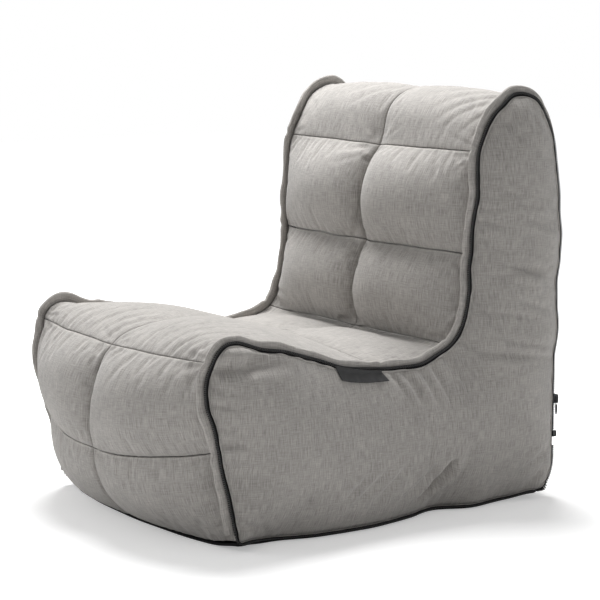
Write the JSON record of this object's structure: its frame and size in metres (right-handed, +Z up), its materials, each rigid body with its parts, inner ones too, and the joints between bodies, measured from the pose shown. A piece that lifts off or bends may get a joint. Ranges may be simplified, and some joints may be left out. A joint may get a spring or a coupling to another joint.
{
  "type": "bean bag chair",
  "caption": "High-backed bean bag lounge chair with a quilted centre strip, padded welts and a joining zip half round each side, on a flat base.",
  "frame": {"origin": "on the floor, in the middle of the chair's footprint box", "axes": "+Z up, the sitter faces -Y, +X towards the sitter's left"},
  "size_m": [0.7166, 0.9022, 0.8148],
  "materials": {
    "cover_weave": "grey-taupe linen-look slub weave, matt",
    "zip_tape": "black woven polyester tape",
    "zip_teeth": "black moulded acetal, satin",
    "slider_metal": "black lacquered zinc, semi-gloss",
    "label_cloth": "black woven tape, bare",
    "base_canvas": "dark coated canvas, matt",
    "liner_cloth": "undyed thin lining",
    "liner_tape": "undyed coil zip tape",
    "filling_beads": "white expanded polystyrene beads"
  },
  "bodies": {
    "chair": {"front_lower_panel_left": "cover_weave", "front_lower_panel_right": "cover_weave", "front_upper_panel_left": "cover_weave", "front_upper_panel_right": "cover_weave", "seat_front_panel_left": "cover_weave", "seat_front_panel_right": "cover_weave", "seat_rear_panel_left": "cover_weave", "seat_rear_panel_right": "cover_weave", "back_lower_panel_left": "cover_weave", "back_lower_panel_right": "cover_weave", "back_middle_panel_left": "cover_weave", "back_middle_panel_right": "cover_weave", "back_top_panel_left": "cover_weave", "back_top_panel_right": "cover_weave", "rear_upper_panel_left": "cover_weave", "rear_upper_panel_right": "cover_weave", "rear_middle_panel_left": "cover_weave", "rear_middle_panel_right": "cover_weave", "rear_lower_panel_left": "cover_weave", "rear_lower_panel_right": "cover_weave", "side_panel_left": "cover_weave", "side_panel_right": "cover_weave", "welt_left": "cover_weave", "welt_right": "cover_weave", "joining_tape_left": "zip_tape", "joining_tape_right": "zip_tape", "base_zip_front": "zip_tape", "base_zip_rear": "zip_tape", "joining_chain_left": "zip_teeth", "joining_chain_right": "zip_teeth", "joining_box": "zip_teeth", "joining_pin": "zip_teeth", "joining_stop_left": "zip_teeth", "joining_stop_right": "zip_teeth", "label_tag": "label_cloth", "base_panel": "base_canvas", "inner_liner": "liner_cloth", "liner_zip_front": "liner_tape", "liner_zip_rear": "liner_tape", "bead_filling": "filling_beads"},
    "zip_slider": {"joining_slider": "slider_metal"},
    "zip_pull": {"joining_pull": "slider_metal"},
    "base_slider": {"base_zip_slider": "slider_metal"},
    "liner_slider": {"liner_zip_slider": "slider_metal"}
  },
  "joints": [
    {"name": "joining_slide", "type": "slide", "parent": "chair", "child": "zip_slider", "axis": [0, 0, 1], "range_m": [-0.05, 0.055]},
    {"name": "pull_swing", "type": "hinge", "parent": "zip_slider", "child": "zip_pull", "pos_m": [0.3176, 0.42485, 0.1927], "axis": [0, -1, 0], "range_deg": [0, 175]},
    {"name": "base_slide", "type": "slide", "parent": "chair", "child": "base_slider", "axis": [1, 0, 0], "range_m": [-0.378, 0]},
    {"name": "liner_slide", "type": "slide", "parent": "chair", "child": "liner_slider", "axis": [1, 0, 0], "range_m": [-0.278, 0]}
  ]
}
